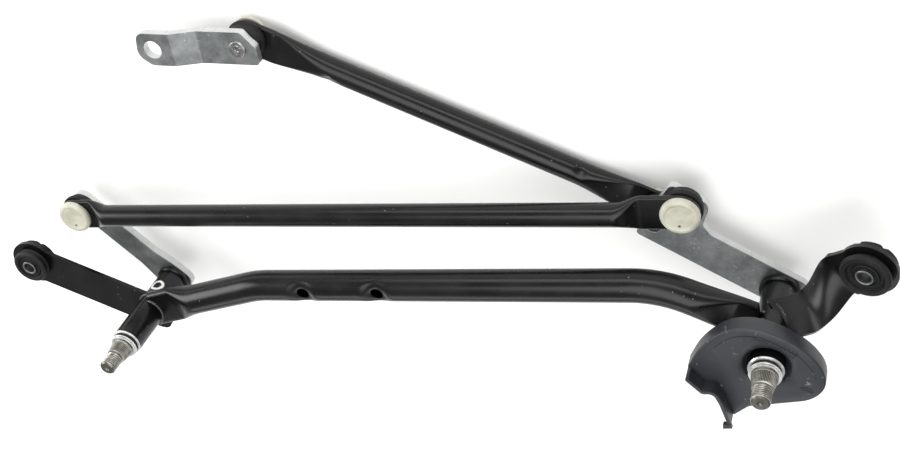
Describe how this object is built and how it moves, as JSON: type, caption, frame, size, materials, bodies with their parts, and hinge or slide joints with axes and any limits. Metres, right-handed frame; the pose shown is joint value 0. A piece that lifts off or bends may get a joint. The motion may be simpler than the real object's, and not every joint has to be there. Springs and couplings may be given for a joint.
{
  "type": "windshield wiper linkage",
  "caption": "Windshield wiper linkage: a cross tube that carries arm spindles, levers, ball-jointed links, a motor crank, rubber mounting bushes and a plastic spindle shield.",
  "frame": {"origin": "middle of the left mounting bush, on its bore axis", "axes": "+X from the left pivot to the right pivot, +Z along the spindles towards the wiper arms, +Y from the cross tube towards the motor crank"},
  "size_m": [0.6442, 0.2522, 0.1333],
  "materials": {
    "black_coat": "satin black electrocoat",
    "zinc_plate": "zinc plated, dull grey with bright sheared edges",
    "spindle_steel": "turned and knurled steel",
    "bright_steel": "bright plated steel",
    "sintered_bronze": "matt sintered bronze",
    "nylon": "natural ivory nylon, satin",
    "rubber": "matt black",
    "shield_plastic": "satin dark grey moulding"
  },
  "bodies": {
    "frame": {"cross_tube": "black_coat", "left_pivot_sleeve": "black_coat", "right_pivot_sleeve": "black_coat", "left_front_bearing": "sintered_bronze", "left_rear_bearing": "sintered_bronze", "right_front_bearing": "sintered_bronze", "right_rear_bearing": "sintered_bronze", "left_o_ring": "rubber", "right_o_ring": "rubber", "left_bracket": "black_coat", "right_bracket": "black_coat", "left_bush_rubber": "rubber", "right_bush_rubber": "rubber", "left_bush_sleeve": "bright_steel", "right_bush_sleeve": "bright_steel", "spindle_shield": "shield_plastic"},
    "right_crank": {"right_spindle": "spindle_steel", "right_lever": "zinc_plate", "right_drag_stud": "bright_steel", "right_drive_stud": "bright_steel", "right_rear_washer": "bright_steel", "right_front_washer": "bright_steel", "right_circlip": "bright_steel"},
    "left_crank": {"left_spindle": "spindle_steel", "left_lever": "zinc_plate", "left_ball_stud": "bright_steel", "left_rear_washer": "bright_steel", "left_front_washer": "bright_steel", "left_circlip": "bright_steel"},
    "drag_link": {"drag_link_tube": "black_coat", "drag_left_socket": "nylon", "drag_right_socket": "nylon", "drag_left_seal": "rubber", "drag_right_seal": "rubber"},
    "drive_link": {"drive_link_tube": "black_coat", "drive_left_socket": "nylon", "drive_right_socket": "nylon", "drive_left_seal": "rubber", "drive_right_seal": "rubber"},
    "motor_crank": {"motor_crank_arm": "zinc_plate", "crank_ball_stud": "bright_steel"}
  },
  "joints": [
    {"name": "right_spindle_turn", "type": "hinge", "parent": "frame", "child": "right_crank", "pos_m": [0.551, -0.04, 0], "axis": [0, 0, 1], "range_deg": [-72, 5]},
    {"name": "left_spindle_turn", "type": "hinge", "parent": "frame", "child": "left_crank", "pos_m": [0.093, -0.04, 0], "axis": [0, 0, 1], "range_deg": [-72, 5]},
    {"name": "drag_link_swing", "type": "hinge", "parent": "right_crank", "child": "drag_link", "pos_m": [0.4975, 0.029, -0.024], "axis": [0, 0, 1], "range_deg": [-5, 72]},
    {"name": "drive_link_swing", "type": "hinge", "parent": "right_crank", "child": "drive_link", "pos_m": [0.4765, 0.0115, -0.049], "axis": [0, 0, 1], "range_deg": [-15, 95]},
    {"name": "motor_crank_turn", "type": "hinge", "parent": "drive_link", "child": "motor_crank", "pos_m": [0.2185, 0.153, -0.049], "axis": [0, 0, 1], "continuous": true}
  ],
  "couplings": [
    {"joint": "left_spindle_turn", "follows": "right_spindle_turn", "ratio": 1},
    {"joint": "drag_link_swing", "follows": "right_spindle_turn", "ratio": -1}
  ]
}
